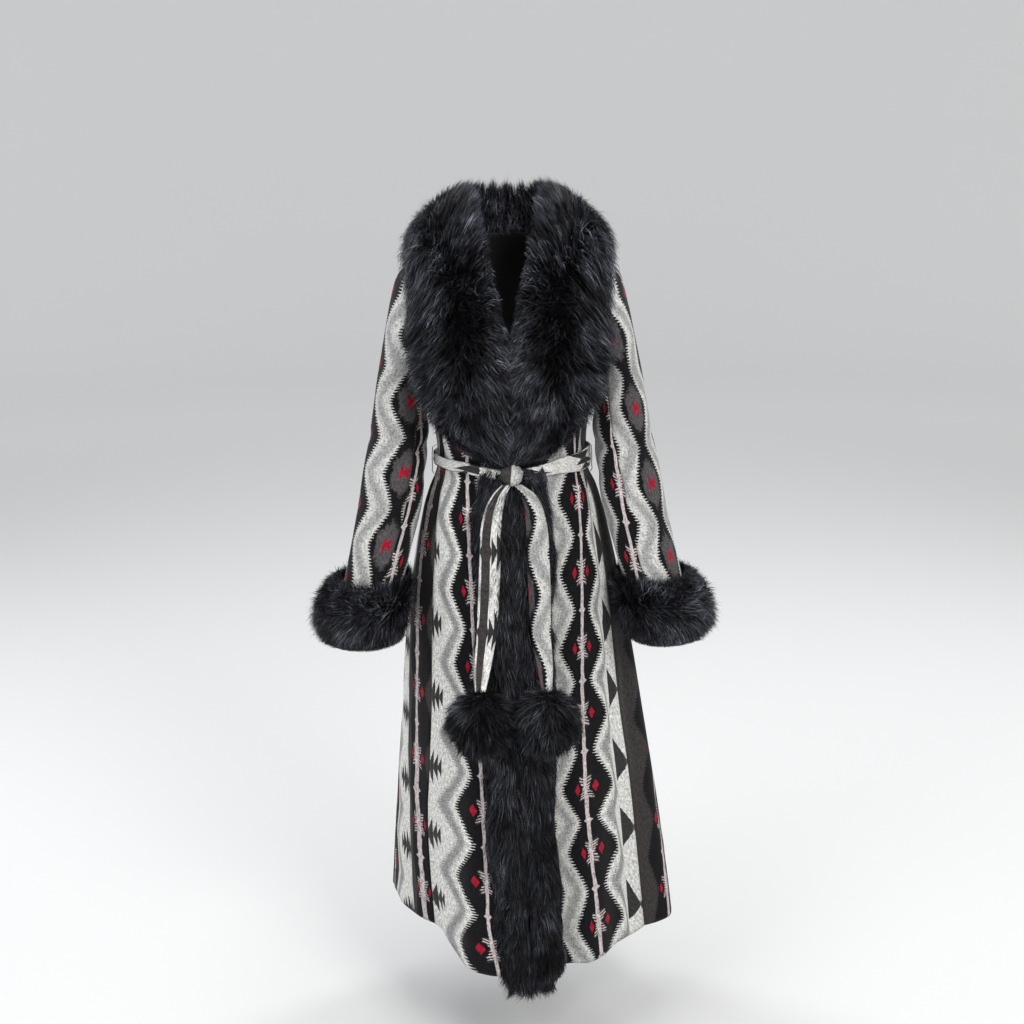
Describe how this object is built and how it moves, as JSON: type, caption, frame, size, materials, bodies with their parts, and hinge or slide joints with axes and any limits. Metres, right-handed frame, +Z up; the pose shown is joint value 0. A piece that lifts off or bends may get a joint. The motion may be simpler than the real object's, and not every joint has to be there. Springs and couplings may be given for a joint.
{
  "type": "coat",
  "caption": "Long belted coat of patterned wool cloth in its worn, hollow form, with a fur shawl collar, fur front edges, fur cuffs, and a tied cloth belt ending in fur pompoms.",
  "frame": {"origin": "on the shoulder line at the middle of the neck opening, where a wearer carries the coat", "axes": "+Z up, front towards -Y, +X towards the wearer's left"},
  "size_m": [0.7206, 0.5508, 1.4174],
  "materials": {
    "wool_cloth": "brushed wool cloth with woven zigzag stripes in off-white, grey, charcoal and crimson",
    "black_fur": "long silky black fur with cool highlights",
    "thread": "black thread"
  },
  "bodies": {
    "root": {"back_panel": "wool_cloth", "front_panel_right": "wool_cloth", "front_panel_left": "wool_cloth", "side_panel_right": "wool_cloth", "side_panel_left": "wool_cloth", "sleeve_right": "wool_cloth", "sleeve_left": "wool_cloth", "belt": "wool_cloth", "belt_knot": "wool_cloth", "belt_tail_right": "wool_cloth", "belt_tail_left": "wool_cloth", "fur_collar_right": "black_fur", "fur_collar_left": "black_fur", "fur_front_right": "black_fur", "fur_front_left": "black_fur", "fur_cuff_right": "black_fur", "fur_cuff_left": "black_fur", "pompom_right": "black_fur", "pompom_left": "black_fur", "belt_loop_right": "thread", "belt_loop_left": "thread"}
  },
  "joints": []
}
